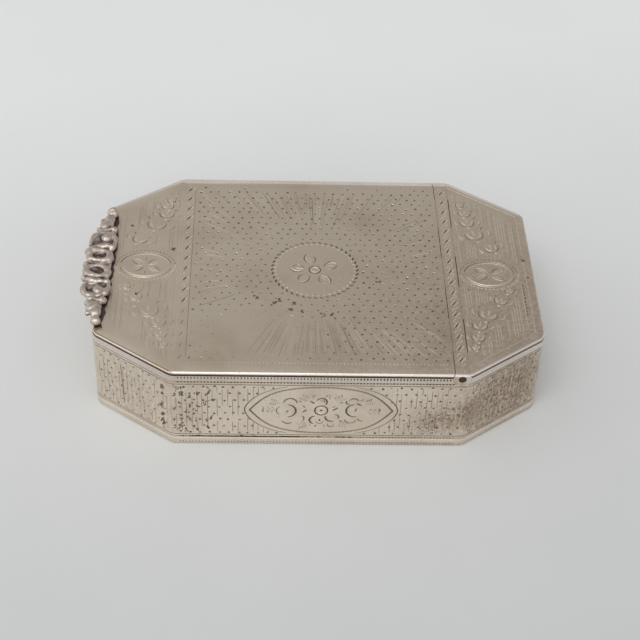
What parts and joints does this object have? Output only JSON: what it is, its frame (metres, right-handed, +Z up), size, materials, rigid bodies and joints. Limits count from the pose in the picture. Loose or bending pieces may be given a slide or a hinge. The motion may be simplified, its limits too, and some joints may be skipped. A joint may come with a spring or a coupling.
{
  "type": "snuff box",
  "caption": "Octagonal engraved silver snuff box with a flush knuckle hinge near one end and a cast scroll thumbpiece that lifts the hinged lid.",
  "frame": {"origin": "middle of the box's underside, on the surface that it rests on", "axes": "+X from the thumbpiece to the hinge end, +Y to the back long side, +Z up through the lid"},
  "size_m": [0.0723, 0.048, 0.017],
  "materials": {
    "engraved_silver": "worn satin silver with hand engraving and dark tarnish in the cuts",
    "plain_silver": "worn satin silver",
    "hinge_silver": "worn satin silver with engraved dashes on the flat",
    "cast_silver": "polished cast silver with dark tarnish in the recesses",
    "pin_wire": "dull brown wire"
  },
  "bodies": {
    "box": {"base_plate": "plain_silver", "side_wall": "engraved_silver", "hinge_end_plate": "engraved_silver", "box_hinge_bearer": "plain_silver", "knuckle_1": "hinge_silver", "knuckle_3": "hinge_silver", "knuckle_5": "hinge_silver", "knuckle_7": "hinge_silver", "hinge_pin": "pin_wire"},
    "lid": {"lid_plate": "engraved_silver", "lid_bezel": "plain_silver", "lid_hinge_bearer": "plain_silver", "knuckle_2": "hinge_silver", "knuckle_4": "hinge_silver", "knuckle_6": "hinge_silver", "thumbpiece": "cast_silver"}
  },
  "joints": [
    {"name": "lid_hinge", "type": "hinge", "parent": "box", "child": "lid", "pos_m": [0.0214, 0, 0.01455], "axis": [0, 1, 0], "range_deg": [0, 95]}
  ]
}
